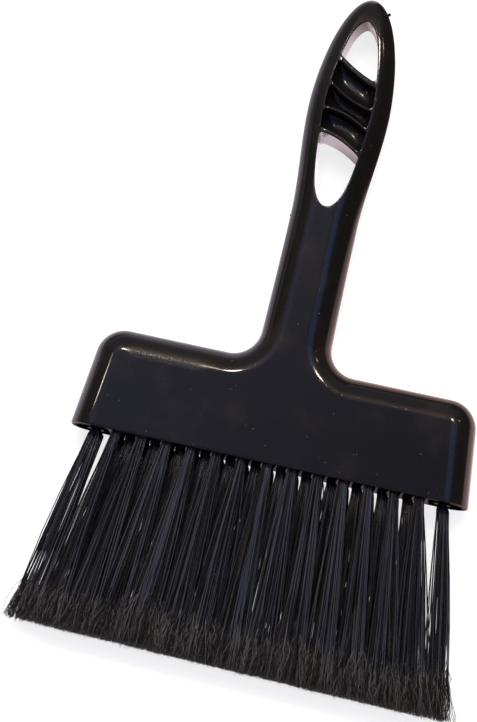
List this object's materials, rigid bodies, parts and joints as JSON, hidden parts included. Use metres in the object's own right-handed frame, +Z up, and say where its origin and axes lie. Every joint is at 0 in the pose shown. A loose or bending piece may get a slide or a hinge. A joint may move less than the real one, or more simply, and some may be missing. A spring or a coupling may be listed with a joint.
{
  "type": "bee brush",
  "caption": "Flat T-shaped hand brush: wide head of long, soft, flagged black filaments for sweeping bees off a comb, on a slotted grip with ribbed finger pockets and a hanging opening.",
  "frame": {"origin": "centre of the head's flat back face, half way up the head", "axes": "+X along the head, +Y along the handle towards its tip, +Z up out of the front face; the brush lies on its back"},
  "size_m": [0.1834, 0.2861, 0.022],
  "materials": {
    "moulding": "glossy black injection-moulded plastic with fine scratches and dust",
    "filament": "black synthetic filament, satin along the shaft and fuzzy at the flagged end",
    "anchor_wire": "plain flat anchor wire"
  },
  "bodies": {
    "root": {"handle_block": "moulding", "tuft_front_01": "filament", "tuft_front_02": "filament", "tuft_front_03": "filament", "tuft_front_04": "filament", "tuft_front_05": "filament", "tuft_front_06": "filament", "tuft_front_07": "filament", "tuft_front_08": "filament", "tuft_front_09": "filament", "tuft_front_10": "filament", "tuft_front_11": "filament", "tuft_front_12": "filament", "tuft_front_13": "filament", "tuft_middle_01": "filament", "tuft_middle_02": "filament", "tuft_middle_03": "filament", "tuft_middle_04": "filament", "tuft_middle_05": "filament", "tuft_middle_06": "filament", "tuft_middle_07": "filament", "tuft_middle_08": "filament", "tuft_middle_09": "filament", "tuft_middle_10": "filament", "tuft_middle_11": "filament", "tuft_middle_12": "filament", "tuft_back_01": "filament", "tuft_back_02": "filament", "tuft_back_03": "filament", "tuft_back_04": "filament", "tuft_back_05": "filament", "tuft_back_06": "filament", "tuft_back_07": "filament", "tuft_back_08": "filament", "tuft_back_09": "filament", "tuft_back_10": "filament", "tuft_back_11": "filament", "tuft_back_12": "filament", "tuft_back_13": "filament", "tuft_end_left": "filament", "tuft_end_right": "filament", "front_anchors": "anchor_wire", "middle_anchors": "anchor_wire", "back_anchors": "anchor_wire", "end_anchors": "anchor_wire"}
  },
  "joints": []
}
